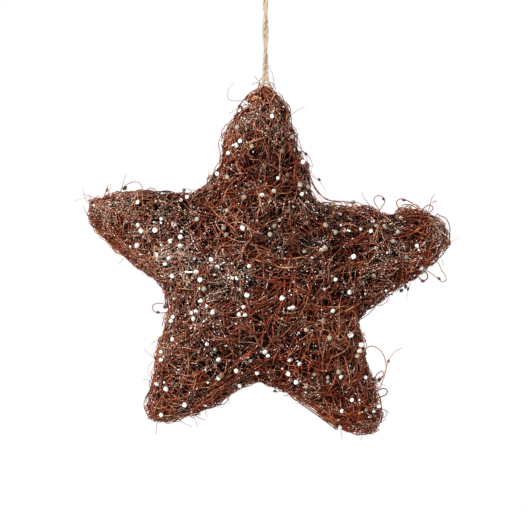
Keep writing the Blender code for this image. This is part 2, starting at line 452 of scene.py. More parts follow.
# Strands run out along an arm, or along its edge, within a spread of their heading.
ALL_ALONG_ARM = 0.150
ARM_SPREAD = 0.45
ALONG_EDGE_SHARE = 0.8
EDGE_SPREAD = 0.25
EDGE_BEND = 0.15
WEAVE_LENGTHS = (0.015, 0.040)
END_DIVE = 0.0018
DIVE_SHARE = 8
HOLLOW_SIZE = 0.0075
HOLLOW_LEVEL = 0.10
HOLLOW_DEPTH = 0.0080
CLEARED_DEPTH = 0.0045
BUNDLE_HALF_WIDTH = 0.0045
BUNDLE_STAGGER = 0.012
BUNDLE_FAN = 0.15
BUNDLE_BENDS = (0.6, 1.4)
BUNDLE_DEPTHS = 0.0006
# The bark's tone, from 0 to 1, is lowered by painted shade in deep and loose places, and raised by painted
# light where a strand stands proud of the skin or the winding is tight. Its age runs from 0, young and red,
# to 1.
SKIN_TONE = 0.528
BUNDLE_TONES = 0.08
STRAND_TONES = 0.11
DEPTH_PAINTED_SHADE = 75.0
PROUDEST_PAINTED_LIGHT = -0.0010
LOOSE_PAINTED_SHADE = 0.16
YOUNGEST = 0.28
AGE_RANGE = 0.36
AGE_CROWDING = 1.4
STRAND_AGES = 0.10
FROST_BASE = 0.16
FROST_PATCH = 0.0120
FROST_PATCH_STRENGTH = 0.45
FINE_PATCH_SHARE = 0.7
WINDING_SEED = 2
# Each layer has its count of strands, their lengths and depths under the skin, how far they waver in depth,
# how many lie in a bundle, their tightest bend, their radii, and how flat the star may be where they start.
LAYERS = {
    "inner_winding": (1250, (0.035, 0.080), (0.0046, 0.0070), 0.0008, (2, 7), 0.014, (0.00045, 0.00068), 1),
    "middle_winding": (2000, (0.020, 0.060), (0.0016, 0.0048), 0.0014, (1, 6), 0.009, (0.00036, 0.00056), 1),
    "outer_winding": (2100, (0.014, 0.050), (-0.0004, 0.0022), 0.0015, (1, 5), 0.009, (0.0003, 0.00046), 1),
    "top_winding": (2100, (0.010, 0.038), (-0.0010, 0.0008), 0.0015, (1, 3), 0.012, (0.00022, 0.00036), 1),
    "edge_winding": (900, (0.020, 0.060), (0.0002, 0.0040), 0.0010, (3, 8), 0.012, (0.00034, 0.00052), 0.55),
}
# Three tables of places in the photograph's frame, each with how far it reaches in pixels, and its strength.
# The frosting lies thick here.
FROST_DRIFTS = (
    ((172, 255), 45, 0.3), ((173, 262), 22, 0.4), ((112, 213), 24, 0.4), ((207, 191), 16, 0.34),
    ((234, 130), 18, 0.3), ((268, 122), 24, 0.34), ((232, 273), 28, 0.26), ((158, 221), 14, 0.22),
    ((217, 263), 12, 0.14), ((198, 314), 24, 0.4), ((156, 356), 26, 0.3), ((312, 205), 22, 0.12),
    ((383, 259), 24, 0.46), ((344, 332), 16, 0.16), ((186, 412), 18, 0.15), ((378, 421), 13, 0.3),
    ((442, 232), 20, 0.46),
)
# The winding is looser here and sinks, and painted shade darkens its tone; where the strength is negative it
# is tighter, and painted light lightens its tone.
LOOSE_AND_SHADED_PLACES = (
    ((319, 266), 18, 0.5), ((308, 243), 14, 0.3), ((330, 234), 17, 0.46), ((317, 204), 13, 0.7),
    ((391, 224), 14, 0.52), ((210, 366), 19, 0.4), ((243, 353), 15, 0.4), ((235, 383), 11, 0.48),
    ((344, 291), 12, 0.34), ((218, 269), 11, 0.24), ((222, 292), 11, 0.24), ((251, 277), 14, 0.36),
    ((277, 242), 12, 0.34), ((321, 381), 12, 0.24), ((211, 192), 14, -0.3), ((232, 222), 15, -0.3),
    ((257, 127), 14, -0.3), ((284, 190), 14, -0.34), ((279, 210), 12, -0.16), ((341, 266), 10, -0.3),
    ((290, 281), 12, -0.24), ((297, 310), 14, -0.34), ((253, 326), 12, -0.24), ((170, 403), 13, -0.32),
    ((149, 243), 14, -0.24), ((337, 325), 15, -0.56), ((352, 390), 14, -0.25), ((348, 413), 12, -0.25),
)
# The bark is weathered dull and greyish here, or younger and redder where the strength is negative.
WEATHERED_PLACES = (
    ((158, 195), 20, 0.4), ((287, 215), 26, 0.4), ((262, 242), 18, 0.24), ((344, 204), 20, 0.34),
    ((270, 156), 22, 0.3), ((213, 269), 16, 0.24), ((358, 428), 20, -0.45), ((436, 250), 18, -0.4),
    ((407, 251), 18, -0.36), ((293, 377), 22, -0.32), ((322, 411), 16, -0.26), ((169, 294), 20, -0.3),
    ((367, 286), 16, -0.26),
)

# Dry vine: bark that is dark brown to rust, with a faint sheen. Glue and mica dust frost it in drifts,
# where it looks salted with white. The grains of frosting are finer than a pixel on the real vine, and are
# drawn 0.8 mm wide so that they show.
dry_vine, shader = new_material("dry_frosted_vine")
place = add_node(dry_vine, "TexCoord", "Object")
tone, frost, age = [add_node(dry_vine, "Attribute", "Fac", attribute_name=mark) for mark in TUBE_MARKS]
mottle = add_node(dry_vine, "TexNoise", "Fac", {"Vector": place, "Scale": 1 / 0.0030, "Detail": 3.0})
mottle_shift = add_node(dry_vine, "MapRange", "Result", {
    "Value": mottle, "From Min": 0.25, "From Max": 0.75, "To Min": -0.28, "To Max": 0.28,
})
shade = add_node(dry_vine, "Math", "Value", {0: tone, 1: mottle_shift}, operation="ADD")
young_bark = add_node(dry_vine, "ValToRGB", "Color", {"Fac": shade}, (
    (0.00, "#170400"), (0.28, "#481304"), (0.55, "#7c2b10"), (0.80, "#a3502a"), (1.00, "#c68756"),
))
old_bark = add_node(dry_vine, "ValToRGB", "Color", {"Fac": shade}, (
    (0.00, "#110805"), (0.28, "#35170f"), (0.55, "#5c3324"), (0.80, "#815a44"), (1.00, "#ac8f72"),
))
bark = add_node(dry_vine, "Mix", "Result", {"Factor": age, "A": young_bark, "B": old_bark}, data_type="RGBA")
grain = add_node(dry_vine, "TexNoise", "Fac", {"Vector": place, "Scale": 1 / 0.0008, "Detail": 1.0})
frost_sum = add_node(dry_vine, "Math", "Value", {0: frost, 1: 0.26, 2: grain}, operation="MULTIPLY_ADD")
frost_share = add_node(dry_vine, "MapRange", "Result", {
    "Value": frost_sum, "From Min": 0.68, "From Max": 0.76, "To Max": 0.75,
})
vine_colour = add_node(
    dry_vine, "Mix", "Result", {"Factor": frost_share, "A": bark, "B": linear("#d0b29b")}, data_type="RGBA",
)
fibre = add_node(dry_vine, "TexNoise", "Fac", {"Vector": place, "Scale": 1 / 0.0008, "Detail": 2.0})
bump = add_node(dry_vine, "Bump", "Normal", {"Height": fibre, "Strength": 0.5, "Distance": 0.0002})
set_inputs(shader, {
    "Base Color": vine_colour, "Roughness": 0.55, "Specular IOR Level": 0.1, "Normal": bump,
})

former_mesh = smoothed_star(FORMER_GRAIN, FORMER_SMOOTHING)
former_mesh.calc_loop_triangles()
former_points = corner_places(former_mesh)
former_faces = np.array([tuple(face.vertices) for face in former_mesh.loop_triangles])
former = BVHTree.FromPolygons(former_points.tolist(), former_faces.tolist())
skin = BVHTree.FromPolygons(
    corner_places(star_mesh).tolist(), [tuple(face.vertices) for face in star_mesh.polygons],
)


def skin_height(place, up):
    """How far the solid star's skin is above the former at a place."""
    hit, _, _, away = skin.ray_cast(place + up * SKIN_SEARCH, -up, 2 * SKIN_SEARCH)
    return SKIN_SEARCH - away if hit else 0.0


def starts(count):
    """Places spread evenly over the former."""
    a, b, c = [former_points[former_faces[:, i]] for i in range(3)]
    size = np.linalg.norm(np.cross(b - a, c - a), axis=1)
    faces = chance.choices(range(len(size)), weights=size.tolist(), k=count)
    found = []
    for face in faces:
        u, v = sorted((chance.random(), chance.random()))
        found.append(Vector(a[face] * u + b[face] * (v - u) + c[face] * (1 - v)))
    return found


def scatter(spread):
    """A random shift, as likely one way as any other."""
    return Vector([chance.gauss(0, spread) for _ in range(3)])


def eased(values, rounds):
    """Evens out numbers or rows of them, each with its neighbours."""
    values = np.asarray(values, float)
    for _ in range(rounds):
        padded = np.concatenate([values[:1], values, values[-1:]])
        values = 0.25 * padded[:-2] + 0.5 * padded[1:-1] + 0.25 * padded[2:]
    return values


def strength_of(table):
    """A function that sums a table's strengths at a place. Each fades away, and is halved on the back."""
    rows = [(*at_pixel(pixel).xz, reach * PIXEL, strength) for pixel, reach, strength in table]

    def strength_at(place):
        found = 0.0
        for x, z, reach, strength in rows:
            found += strength * math.exp(-((place[0] - x) ** 2 + (place[2] - z) ** 2) / reach ** 2)
        return found if place[1] < 0 else found / 2

    return strength_at


drifting = strength_of(FROST_DRIFTS)
# Looseness sinks the strands, and also puts painted shade and painted light into their tone.
looseness_and_painted_shade = strength_of(LOOSE_AND_SHADED_PLACES)
weathering = strength_of(WEATHERED_PLACES)
clearings = [(np.array(at_pixel(pixel).xz), reach * PIXEL, through) for pixel, reach, through in CLEARINGS]


def drift(place):
    """How thickly the frosting lies at a place, from 0 to 1: in its drifts, and in patches."""
    point = Vector(place)
    patch = noise.noise(point / FROST_PATCH) + FINE_PATCH_SHARE * noise.noise(point / (FROST_PATCH / 3))
    return min(1.0, max(0.0, FROST_BASE + FROST_PATCH_STRENGTH * patch + drifting(place)))


def hollow(place):
    """How much deeper a strand lies at a place, in the hollows of the winding."""
    share = noise.noise(place / HOLLOW_SIZE) - HOLLOW_LEVEL + looseness_and_painted_shade(place)
    return HOLLOW_DEPTH * max(0.0, share)


def clear_run(line, depths):
    """The first and last point of the longest run of a line that keeps out of the clearings."""
    blocked = np.zeros(len(line) - 1, bool)
    in_front = (line[1:, 1] < 0) & (depths[1:] < CLEARED_DEPTH)
    for middle, reach, through in clearings:
        here, there = line[:-1, ::2], line[1:, ::2]
        along = there - here
        share = ((middle - here) * along).sum(1) / np.maximum((along ** 2).sum(1), 1e-12)
        nearest = here + along * np.clip(share, 0, 1)[:, None]
        blocked |= (np.linalg.norm(nearest - middle, axis=1) < reach) & (through | in_front)
    edges = [-1, *np.flatnonzero(blocked).tolist(), len(blocked)]
    first, last = max(zip(edges, edges[1:]), key=lambda run: run[1] - run[0])
    return first + 1, last


def lay_strand(start, heading, bend, length, depth, weave):
    """Points along one strand on the star, with its outward ways and its depth under the skin.

    It wanders, wavers in depth, dips into the hollows of the winding, and both its ends dive in.
    """
    place, up, _, _ = former.find_nearest(start)
    places, ups, heights = [], [], []
    swing = chance.gauss(0, STRAND_SWING) * abs(bend)
    count = max(FEWEST_POINTS, round(length / STRAND_STEP))
    for i in range(count + 1):
        heading = square_to(heading, up)
        places.append(place)
        ups.append(up)
        heights.append(skin_height(place, up))
        turn = (bend + swing * math.sin(math.pi * i / count)) * STRAND_STEP + chance.gauss(0, STRAND_WANDER)
        if chance.random() < KINK_SHARE:
            turn += chance.gauss(0, KINK_TURN)
        heading += up.cross(heading) * turn
        place, up, _, _ = former.find_nearest(place + heading * STRAND_STEP)
    # A strand bridges the hollows between ridges, so each height is the greatest of three in a row.
    padded = np.array([heights[0], *heights, heights[-1]])
    heights = eased(np.maximum(np.maximum(padded[:-2], padded[1:-1]), padded[2:]), 3)
    share = np.linspace(0, 1, count + 1)
    turns = length / chance.uniform(*WEAVE_LENGTHS)
    depths = depth - weave * np.sin(2 * math.pi * (turns * share + chance.random()))
    dive = DIVE_SHARE * share
    depths += END_DIVE * (np.maximum(0, 1 - dive) + np.maximum(0, dive - (DIVE_SHARE - 1)))
    depths += [hollow(place) for place in places]
    ups = np.array(ups)
    line = eased(np.array(places) + ups * (heights - depths)[:, None], 1)
    first, last = clear_run(line, depths)
    return line[first:last + 1], ups[first:last + 1], depths[first:last + 1]


def strand_heading(start, up):
    """Strands on the edges mostly run along them. The further out others start, the more follow their arm."""
    if chance.random() < ALONG_EDGE_SHARE * (1 - abs(up.y)):
        along = up.cross(Vector((0.0, 1.0, 0.0))).normalized() * chance.choice((-1, 1))
        return along + scatter(EDGE_SPREAD)
    out = Vector((start.x, 0.0, start.z - STAR_MIDDLE_Z))
    if chance.random() < out.length / ALL_ALONG_ARM:
        return out.normalized() + scatter(ARM_SPREAD)
    return scatter(1)


def wind(count, lengths, depths, weave, in_bundle, least_bend, thickness, flattest):
    """The strands of one layer, laid in bundles: each with its line, radius, three marks and outward ways.

    They start where the former faces the front or back no more than the flattest share.
    """
    strands = []
    seeds = iter(starts(count))
    while len(strands) < count:
        start = next(seeds)
        _, up, _, _ = former.find_nearest(start)
        if abs(up.y) > flattest:
            continue
        heading = square_to(strand_heading(start, up), up)
        side = up.cross(heading)
        bend = chance.choice((-1, 1)) / chance.uniform(least_bend, 6 * least_bend)
        bend *= max(EDGE_BEND, abs(up.y))
        longest = GREATEST_TURN / abs(bend)
        depth = chance.uniform(*depths)
        tone = chance.gauss(SKIN_TONE, BUNDLE_TONES)
        age = YOUNGEST + AGE_RANGE * chance.random() ** AGE_CROWDING
        for _ in range(min(chance.randint(*in_bundle), count - len(strands))):
            aside = side * chance.uniform(-1, 1) * BUNDLE_HALF_WIDTH
            line, outward, sunk = lay_strand(
                start + (aside + heading * chance.gauss(0, BUNDLE_STAGGER)),
                heading + side * chance.gauss(0, BUNDLE_FAN),
                bend * chance.uniform(*BUNDLE_BENDS),
                min(longest, chance.uniform(*lengths)),
                depth + chance.gauss(0, BUNDLE_DEPTHS),
                weave,
            )
            if len(line) < FEWEST_POINTS:
                continue
            loose_painted_shade, weathered, frosting = [
                np.array([share(point) for point in line]) for share in (looseness_and_painted_shade, weathering, drift)
            ]
            # Painted shade: deep and loose strands get darker tones, and proud strands in tight places get
            # lighter ones, as painted light.
            painted_shade = np.maximum(sunk, PROUDEST_PAINTED_LIGHT) * DEPTH_PAINTED_SHADE + loose_painted_shade * LOOSE_PAINTED_SHADE
            strands.append((
                line,
                chance.uniform(*thickness),
                tone + chance.gauss(0, STRAND_TONES) - painted_shade,
                frosting,
                np.clip(age + chance.gauss(0, STRAND_AGES) + weathered, 0, 1),
                outward,
            ))
    return strands


chance = random.Random(WINDING_SEED)
layers = {name: wind(*sizes) for name, sizes in LAYERS.items()}
for name, strands in layers.items():
    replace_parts(new_piece(name, tubes(strands, 3), dry_vine), "star_body")

# Long strands: single lengths of vine laid over the winding last, with both ends tucked in. Some are younger
# wood, orange and bare, and some carry a thick line of frosting. Each row has the pixels of the frame that
# the line runs through, how many strands lie along it, their radius, tone and frosting.
LONG_STRANDS = (
    # Orange arcs right of the middle and on the upper right arm
    (((246, 239), (258, 250), (270.5, 256), (283, 259), (297, 258), (308, 255), (318, 246)), 1, 0.00042,
        0.92, 0.0),
    (((310, 280), (329, 277), (343, 270), (353, 264), (367, 261)), 2, 0.00042, 0.84, 0.1),
    # Lower right arm and bottom notch
    (((324, 348), (322.5, 362), (321, 380), (319, 387)), 1, 0.00045, 0.66, 0.3),
    (((331, 333), (326, 341), (324.5, 349)), 1, 0.0004, 0.6, 1.0),
    (((287, 354), (297, 354), (306, 350), (315, 344)), 2, 0.0004, 0.82, 0.2),
    # Middle, and a ring on the lower left arm
    (((274, 270), (268, 282), (265, 293)), 1, 0.00045, 0.6, 1.0),
    (((178, 351), (186, 353), (194, 360), (195, 367), (190, 371), (183, 370)), 2, 0.00042, 0.68, 0.1),
    # Tip, with a knot on its left
    (((264, 98), (268, 93), (272, 89)), 3, 0.00045, 0.88, 0.0),
    (((269, 106), (272, 99), (275.5, 93)), 2, 0.00045, 0.86, 0.0),
    (((274, 96), (278, 100), (281, 105)), 2, 0.00045, 0.8, 0.0),
    (((248, 103), (251, 99), (256, 97), (260, 99), (259, 104), (253, 106), (249, 105)), 5, 0.0004, 0.95,
        0.1),
    # Sweeps on the lower left arm
    (((178, 399), (194, 391), (212, 380), (232, 366), (250, 352), (262, 343)), 6, 0.00046, 0.66, 0.1),
    (((180, 381), (196, 374), (214, 364), (234, 352), (252, 343)), 4, 0.00044, 0.62, 0.2),
    (((196, 402), (214, 393), (234, 379), (250, 367), (262, 360)), 6, 0.00044, 0.6, 0.1),
    # Upper left arm
    (((96, 229), (112, 245), (132, 263), (150, 283), (164, 304)), 7, 0.00046, 0.6, 0.1),
    (((104, 228), (124, 246), (146, 266), (164, 281)), 4, 0.00042, 0.72, 0.3),
    # Frosted lines on the left flank and the upper right arm
    (((228, 268), (231, 276), (233, 284), (232, 292)), 2, 0.00042, 0.6, 1.0),
    (((372, 236), (369, 246), (371, 256), (366, 263)), 2, 0.00042, 0.6, 1.0),
    # Top arm, round the dark hole
    (((270, 172), (273, 156), (276, 142), (278, 128)), 1, 0.0004, 0.7, 0.1),
    (((248, 147.5), (248.6, 154.6), (250.6, 161), (253.4, 166.7), (259, 171)), 1, 0.0004, 0.62, 0.6),
    (((257, 149.5), (259.8, 155.5), (261.3, 162.4), (260.6, 168), (258, 174)), 1, 0.00038, 0.56, 1.0),
    (((257, 137), (250, 143), (245, 152.5), (241, 159), (242.7, 166), (243.4, 172)), 1, 0.00046, 0.7,
        0.2),
    (((260.6, 144.6), (265.5, 150), (267.3, 157), (267, 164.6), (263.4, 171), (262, 177)), 1, 0.0004, 0.6,
        0.6),
    # Left edge of the lower left arm, arcs across the upper right arm, edge of the lower right arm
    (((166, 322), (161, 342), (158, 362), (155, 382), (154, 397)), 7, 0.00044, 0.62, 0.3),
    (((302, 292), (305, 278), (313, 262), (326, 248), (340, 240)), 3, 0.00044, 0.66, 0.3),
    (((318, 300), (332, 292), (343, 279), (348, 262)), 2, 0.00042, 0.64, 0.3),
    (((286, 391), (302, 400), (320, 413), (338, 427), (352, 433)), 6, 0.00044, 0.66, 0.1),
)
BUNDLE_SPREAD = 0.0016
LONG_STRAND_RADII = (0.85, 1.1)
LONG_STRAND_AGES = (0.25, 0.42)
LONG_STRAND_LIFT = 0.0004
LONG_STRAND_STEP = 0.0030
LONG_STRAND_SEED = 25
TUCK = 0.0020

graph = bpy.context.evaluated_depsgraph_get()
wound = [BVHTree.FromObject(bpy.data.objects[name], graph) for name in LAYERS]


def first_strand(start, way):
    """Where a ray first meets the winding, or none."""
    hits = [tree.ray_cast(start, way) for tree in wound]
    hits = [(away, place) for place, _, _, away in hits if place]
    return min(hits, key=lambda hit: hit[0])[1] if hits else None


def over_winding(point, lift):
    """The point moved along the camera's sight to lie over the strands it shows against, or none."""
    way = (point - CAMERA_PLACE).normalized()
    hit = first_strand(CAMERA_PLACE, way)
    return hit - way * lift if hit else None


def smooth_line(pixels, step):
    """Points about a step apart along a smooth curve that shows at the given pixels."""
    points = [at_pixel(pixel) for pixel in pixels]
    ends = [points[0] * 2 - points[1], *points, points[-1] * 2 - points[-2]]
    line = []
    for a, b, c, d in zip(ends, ends[1:], ends[2:], ends[3:]):
        count = max(1, round((c - b).length / step))
        for i in range(count):
            share = i / count
            line.append(0.5 * (
                2 * b + (c - a) * share + (2 * a - 5 * b + 4 * c - d) * share ** 2
                + (3 * b - a - 3 * c + d) * share ** 3
            ))
    return line + [points[-1]]


def with_even_depths(line, rounds, sway=0.0):
    """The line with its depths evened out. It may also sway to or from the camera between its ends."""
    depths = eased([point.y for point in line], rounds)
    return [
        Vector((point.x, depth + sway * math.sin(math.pi * i / len(line)), point.z))
        for i, (point, depth) in enumerate(zip(line, depths))
    ]


chance = random.Random(LONG_STRAND_SEED)
strands = []
for pixels, count, radius, tone_level, frosting in LONG_STRANDS:
    flat = smooth_line(pixels, LONG_STRAND_STEP)
    for i in range(count):
        # The first of a bundle lies on the line, and the others beside it, at a slant and shorter.
        aside = chance.gauss(0, BUNDLE_SPREAD) if i else 0.0
        slant = chance.gauss(0, BUNDLE_SPREAD) if i else 0.0
        first = chance.randrange(0, len(flat) // 3) if i else 0
        last = len(flat) - (chance.randrange(0, len(flat) // 3) if i else 0)
        line = []
        for k in range(first, last):
            along = (flat[min(k + 1, len(flat) - 1)] - flat[max(k - 1, 0)]).normalized()
            side = Vector((-along.z, 0.0, along.x))
            point = flat[k] + side * (aside + slant * (k / len(flat) - 0.5))
            line.append(over_winding(point, LONG_STRAND_LIFT))
        line = [point for point in line if point]
        if len(line) < FEWEST_POINTS:
            continue
        line = with_even_depths(line, 3)
        line[0].y += TUCK
        line[-1].y += TUCK
        strands.append((
            line,
            radius * chance.uniform(*LONG_STRAND_RADII),
            tone_level + (chance.gauss(0, BUNDLE_TONES) if i else 0.0),
            frosting,
            chance.uniform(*LONG_STRAND_AGES),
        ))
new_piece("long_strands", tubes(strands, 5), dry_vine)

# Tendrils: thin shoots of the vine that spring out of the winding, in hooks, loops and stray ends.
# Each row has the pixels that it passes, its radius, and which of its ends is rooted in the star.
TENDRILS = (
    # Round the tip and the foot of the twine, then down the right side of the top arm
    (((237.6, 109.5), (242.5, 101), (248, 94.7), (253, 91), (258, 88.4)), 0.0004, "both"),
    (((240.8, 100.4), (235.5, 101), (229, 99.6), (227.5, 94), (229, 88.4), (233.4, 83.5)), 0.00018,
        "start"),
    (((275.5, 89), (273.4, 80.7), (273, 75.4), (270.6, 70), (269, 66)), 0.00022, "start"),
    (((270, 86), (269.9, 82.5), (272.7, 83.5), (273.4, 87)), 0.0003, "both"),
    (((264, 76), (261, 78.6), (259.4, 82), (258.6, 88)), 0.00026, "end"),
    (((255, 76), (257, 79), (259.4, 81.4), (261, 86)), 0.00022, "end"),
    (((252, 84.6), (254.6, 83), (257.3, 82), (260, 85)), 0.00022, "end"),
    (((258, 88), (258.7, 85.3), (263, 84.2), (267, 83.5), (271, 85.5), (272, 89)), 0.00034, "both"),
    (((303, 151), (306, 154), (310.5, 159), (313, 167)), 0.0003, "start"),
    (((306, 174), (314, 177), (321, 183), (326, 191)), 0.00026, "start"),
    (((310, 176), (315, 187), (325, 198.5), (336, 201), (346, 201.5), (352, 203)), 0.0004, "both"),
    (((311, 182), (318, 193), (329, 200), (342, 203)), 0.00034, "both"),
    # Upper left arm
    (((104, 197), (105.5, 192), (108, 185)), 0.00045, "start"),
    (((108, 197), (109, 191), (111, 188)), 0.0003, "start"),
    (((120, 194), (122, 187), (126, 174)), 0.00028, "start"),
    (((121, 190), (126, 185), (134, 182), (140, 183.5), (143, 189)), 0.00024, "both"),
    (((88, 203), (85, 197), (82, 186)), 0.00018, "start"),
    (((90, 197), (80, 199), (74, 201)), 0.00016, "start"),
    (((88, 216), (86, 213), (83, 205)), 0.00024, "start"),
    # Upper right arm: hook, loops, stalk, twigs and the long strand round its end
    (((370, 206), (366.5, 201), (363, 196.5), (362, 192)), 0.00028, "start"),
    (((379.5, 210), (376, 205), (374, 200), (376, 196.5), (380, 195.5), (384, 198), (385, 202),
        (382.5, 206), (380, 210)), 0.0003, "both"),
    (((400.5, 210), (397, 205), (397, 201), (401, 198.8), (406, 200), (411, 202.5), (416, 205.5),
        (418.5, 209), (420, 214)), 0.00042, "both"),
    (((408, 212), (410, 207), (413.5, 204.5), (417, 205), (420, 208)), 0.00034, "both"),
    (((429, 209), (430.5, 203), (432, 198), (434.5, 194)), 0.0003, "start"),
    (((432, 203), (434, 201.5), (437, 201)), 0.00026, "none"),
    (((422, 211), (424, 208), (428, 205), (432, 206), (433, 209), (430, 212)), 0.00034, "both"),
    (((437, 214), (441, 216), (445.5, 218), (449, 224), (450, 231), (449, 243), (444, 253), (435, 261)),
        0.00034, "both"),
    (((446, 244), (452, 241), (460, 237)), 0.0002, "start"),
    (((428, 266), (437, 262), (441, 269), (446, 277.5), (445, 281), (442, 282), (437, 278), (432, 274),
        (426, 270)), 0.0003, "both"),
    (((417, 274), (419.5, 278.5), (424, 280.5), (427.5, 278), (426.5, 273), (421, 270)), 0.0005, "both"),
    (((412, 277), (410, 284), (408, 292), (406, 300)), 0.00022, "start"),
    # Lower right arm: big loop, fork, curls and broken ends
    (((362, 352), (366, 348), (372, 346), (378, 348.5), (383, 354), (385.5, 362), (386, 369), (383, 376)),
        0.00034, "both"),
    (((380, 388), (384, 377), (386.5, 367), (389.5, 359), (395, 351.5), (402, 348)), 0.00034, "start"),
    (((373, 380), (377, 374.5), (382, 371), (384, 375), (380, 381)), 0.00034, "both"),
    (((377, 391), (381, 389), (385, 388.5), (387.5, 391.5), (385, 395), (380, 397)), 0.0004, "both"),
    (((378, 412), (383, 409), (387, 411), (389, 413)), 0.0004, "start"),
    (((377, 417), (383, 418), (387, 415), (385.5, 411)), 0.00038, "start"),
    (((374, 424), (379, 423), (384, 420), (386, 418)), 0.00042, "start"),
    (((371, 430), (376, 428), (379.5, 425)), 0.00042, "start"),
    (((369, 434), (373, 432), (377, 428), (381, 422)), 0.00024, "start"),
    (((362, 434), (361.5, 438), (360, 441)), 0.0002, "start"),
    # Left edge, lower left arm and notches
    (((167, 305), (161, 303.3), (156, 303.5), (152.5, 306), (153.5, 310.5), (158.5, 313), (166, 312.5)),
        0.0003, "both"),
    (((162, 338), (156, 340.5), (151, 344)), 0.0002, "start"),
    (((157, 361), (150, 355), (144, 349)), 0.0002, "start"),
    (((157, 361), (152, 362), (148, 369), (149, 377)), 0.00018, "start"),
    (((193, 414), (199, 417.5), (205, 420)), 0.00036, "start"),
    (((204, 409), (206, 413), (206.5, 418)), 0.00026, "start"),
    (((213, 193), (211, 190), (209, 187)), 0.00045, "start"),
    (((228, 398), (229, 401), (229.5, 404)), 0.00024, "start"),
    (((281, 390), (277, 392), (272, 391.5)), 0.0003, "start"),
)
TENDRIL_TONES = (0.45, 0.80)
TENDRIL_FROSTS = (0.0, 0.0, 0.3, 0.6)
TENDRIL_SWAY = 0.0015
TENDRIL_LIFT = 0.0016
TENDRIL_STEP = 0.0015
TENDRIL_TAPER = 0.45
ROOT_DEPTH = 0.0030
SHOOT_AGE = 0.45
TENDRIL_SEED = 31


def over_star(point, lift):
    """The point moved along the camera's sight to lie over the star's skin, where it shows against that."""
    way = (point - CAMERA_PLACE).normalized()
    hit, _, _, _ = skin.ray_cast(CAMERA_PLACE, way)
    return hit - way * lift if hit else point


def root_of(point):
    """A place inside the star, below its skin nearest to a point."""
    place, up, _, _ = former.find_nearest(point)
    return place - up * ROOT_DEPTH


chance = random.Random(TENDRIL_SEED)
tendrils = []
for pixels, radius, rooted in TENDRILS:
    sway = chance.gauss(0, TENDRIL_SWAY)
    line = [over_star(point, TENDRIL_LIFT) for point in smooth_line(pixels, TENDRIL_STEP)]
    line = with_even_depths(line, 4, sway)
    if rooted in ("start", "both"):
        line.insert(0, root_of(line[0]))
    if rooted in ("end", "both"):
        line.append(root_of(line[-1]))
    taper = np.linspace(1.0, TENDRIL_TAPER if rooted == "start" else 1.0, len(line))
    tone_level = chance.uniform(*TENDRIL_TONES)
    tendrils.append((line, radius * taper, tone_level, chance.choice(TENDRIL_FROSTS), SHOOT_AGE))
new_piece("vine_tendrils", tubes(tendrils, 5), dry_vine)

# Wisps: short broken ends of vine, finer than most strands, that stand up all over the winding and make its
# outline hairy. Short and long ones each have their count, lengths and lifts.
SHORT_WISPS = (900, (0.004, 0.009), (0.0012, 0.0030))
LONG_WISPS = (140, (0.010, 0.022), (0.0018, 0.0048))
WISP_CURL = 0.25
WISP_RISES = (1.2, 1.7)
WISP_SINK = 0.0012
WISP_SHARES = (0.0, 0.2, 0.4, 0.6, 0.8, 1.0)
WISP_RADII = (0.00016, 0.00030)
WISP_TAPER = 0.5
WISP_TONES = (0.3, 0.9)
WISP_SEED = 41

chance = random.Random(WISP_SEED)
wisps = []
for i, start in enumerate(starts(SHORT_WISPS[0] + LONG_WISPS[0])):
    _, lengths, lifts = SHORT_WISPS if i < SHORT_WISPS[0] else LONG_WISPS
    place, up, _, _ = former.find_nearest(start)
    place = place + up * skin_height(place, up)
    heading = square_to(scatter(1), up)
    side = up.cross(heading)
    length = chance.uniform(*lengths)
    lift = chance.uniform(*lifts)
    curl = chance.gauss(0, WISP_CURL) * length
    line = [
        place + heading * length * share + side * curl * share ** 2
        + up * (lift * math.sin(share * chance.uniform(*WISP_RISES)) - WISP_SINK)
        for share in WISP_SHARES
    ]
    radii = chance.uniform(*WISP_RADII) * np.linspace(1.0, WISP_TAPER, len(line))
    wisps.append((line, radii, chance.uniform(*WISP_TONES), drift(place), SHOOT_AGE))
new_piece("vine_wisps", tubes(wisps, 3), dry_vine)

# Buds: small dried buds and seed pods of the vine, spindle shaped, dark and wrinkled. They sit on the
# tendrils and here and there on the edge. Each has its pixel, length, thickness and tone.
BUDS = (
    ((306, 154), 0.003, 0.0011, 0.05), ((319.4, 179.5), 0.0026, 0.0009, 0.05),
    ((125, 188), 0.004, 0.0014, 0.1), ((107, 190), 0.003, 0.001, 0.6), ((383.5, 199), 0.0026, 0.001, 0.3),
    ((404, 200), 0.003, 0.001, 0.3), ((437, 219), 0.0036, 0.0014, 0.05),
    ((439, 278.5), 0.003, 0.001, 0.35), ((423, 281), 0.0034, 0.0011, 0.4),
    ((405.7, 286.7), 0.0034, 0.0013, 0.9), ((401.5, 290.5), 0.0034, 0.0013, 0.95),
    ((408, 289), 0.0028, 0.0009, 0.8), ((375.6, 302.5), 0.003, 0.0011, 0.9),
    ((379.5, 379.5), 0.0034, 0.0012, 0.05), ((388.5, 361), 0.003, 0.001, 0.95),
    ((165, 307), 0.0032, 0.0013, 0.02), ((158, 312.3), 0.0028, 0.001, 0.35),
    ((275, 391), 0.0032, 0.001, 0.6), ((209.5, 188), 0.0034, 0.0013, 0.6),
    ((184, 190), 0.0034, 0.0013, 0.95),
)
BUD_PROFILE = (0.15, 0.70, 1.00, 0.95, 0.60, 0.12)
BUD_REACH = 4 * PIXEL
BUD_LIFT = 0.0012
BUD_SEED = 51

